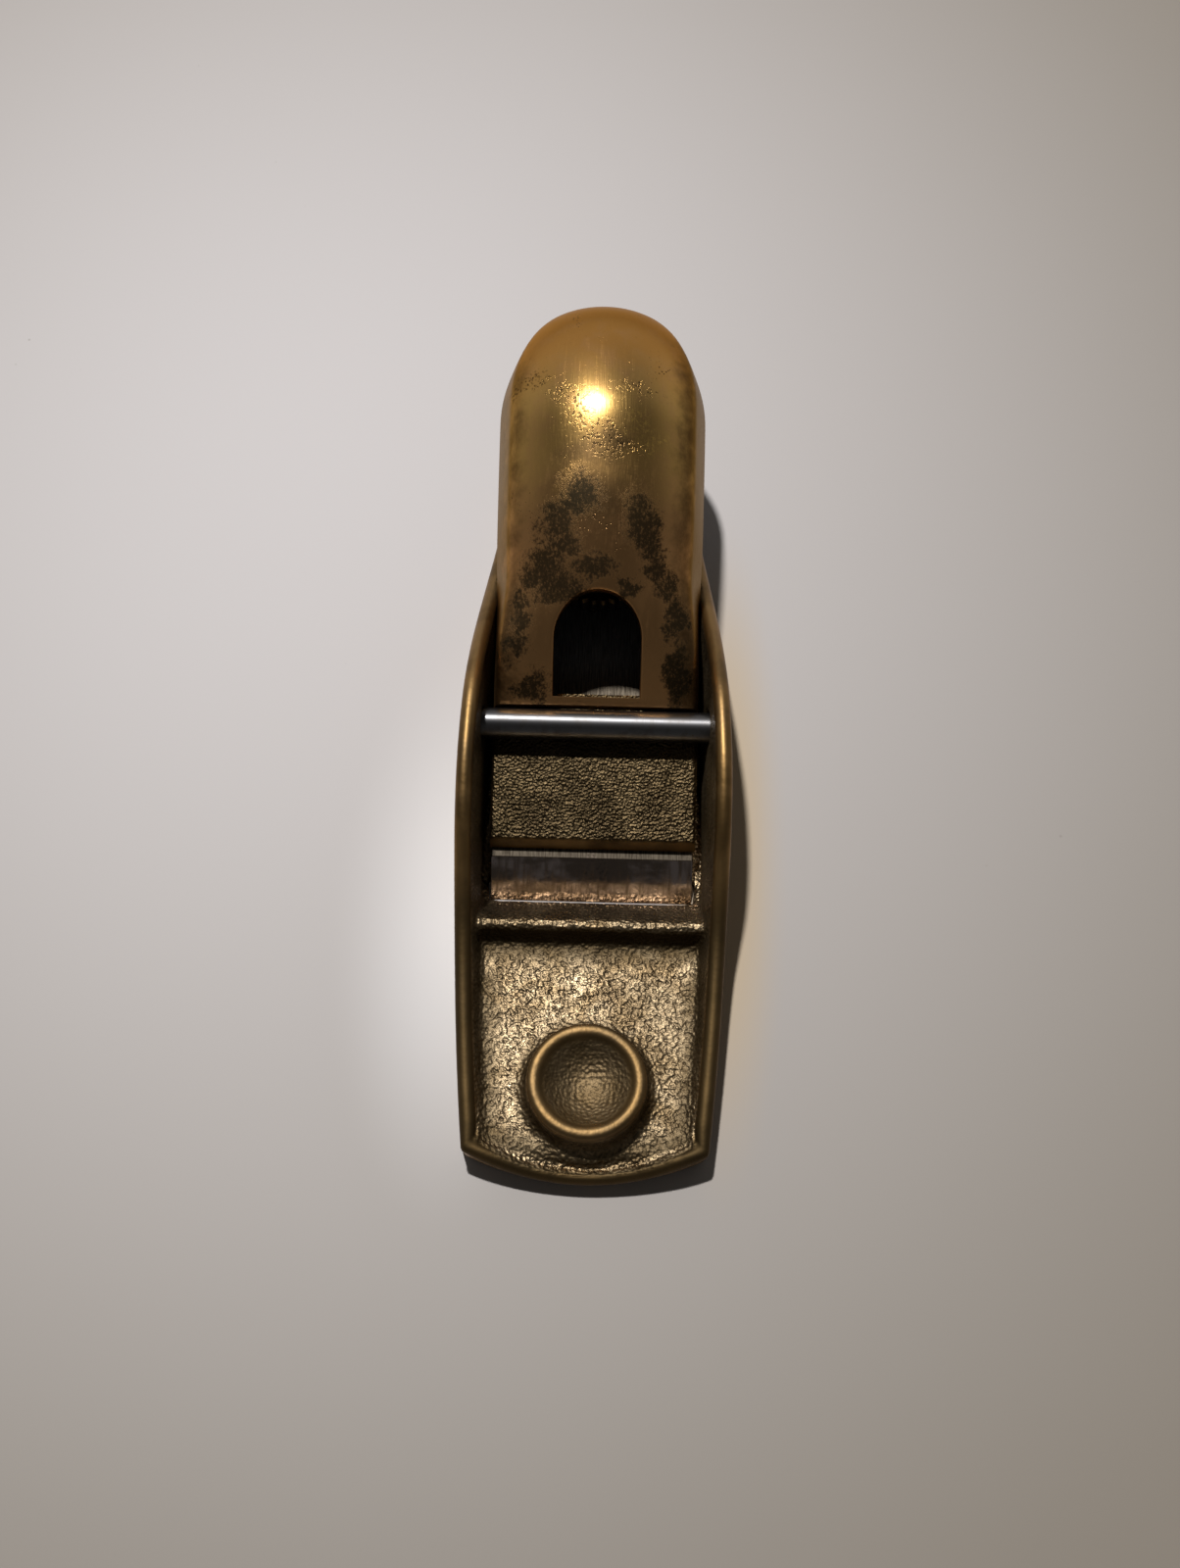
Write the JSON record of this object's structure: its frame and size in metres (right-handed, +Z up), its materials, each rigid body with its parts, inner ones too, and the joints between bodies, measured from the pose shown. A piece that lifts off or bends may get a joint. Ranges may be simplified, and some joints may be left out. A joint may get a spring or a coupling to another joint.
{
  "type": "block plane",
  "caption": "Low-angle block plane: cast bronze body with winged sides and a finger dish, bevel-up blade, hooded bronze lever cap under a cross pin, screw adjuster.",
  "frame": {"origin": "middle of the overall box, on the flat of the sole", "axes": "+X to the plane's right-hand side, +Y from the toe to the heel, +Z up from the sole"},
  "size_m": [0.0422, 0.1384, 0.0429],
  "materials": {
    "body_bronze": "sand cast inside, worn smooth on the rim and the outer sides",
    "cap_bronze": "satin polished hood with dark pits, sand cast front plate",
    "knurled_brass": "turned and knurled",
    "blade_steel": "ground flat, polished bevel",
    "pin_steel": "polished",
    "screw_steel": "machined thread"
  },
  "bodies": {
    "body": {"body_casting": "body_bronze", "cross_pin": "pin_steel", "adjuster_stud": "screw_steel"},
    "blade": {"blade": "blade_steel"},
    "adjuster_nut": {"adjuster_nut": "knurled_brass"},
    "lever_cap": {"lever_cap": "cap_bronze"},
    "lock_wheel": {"lock_wheel": "knurled_brass", "lock_screw": "screw_steel"}
  },
  "joints": [
    {"name": "blade_slide", "type": "slide", "parent": "body", "child": "blade", "axis": [0, 0.9781, 0.2079], "range_m": [-0.0008, 0.003]},
    {"name": "adjuster_spin", "type": "hinge", "parent": "blade", "child": "adjuster_nut", "pos_m": [0, 0.05861, 0.01133], "axis": [0, 0.9781, 0.2079], "range_deg": [-365, 1365]},
    {"name": "cap_slide", "type": "slide", "parent": "body", "child": "lever_cap", "axis": [0, 0.9781, 0.2079], "range_m": [0, 0.026]},
    {"name": "lock_spin", "type": "hinge", "parent": "lever_cap", "child": "lock_wheel", "pos_m": [0, 0.03207, 0.01834], "axis": [0, -0.2079, 0.9781], "range_deg": [0, 720]}
  ],
  "couplings": [
    {"joint": "adjuster_spin", "follows": "blade_slide", "rad_per_m": 7915.8}
  ]
}
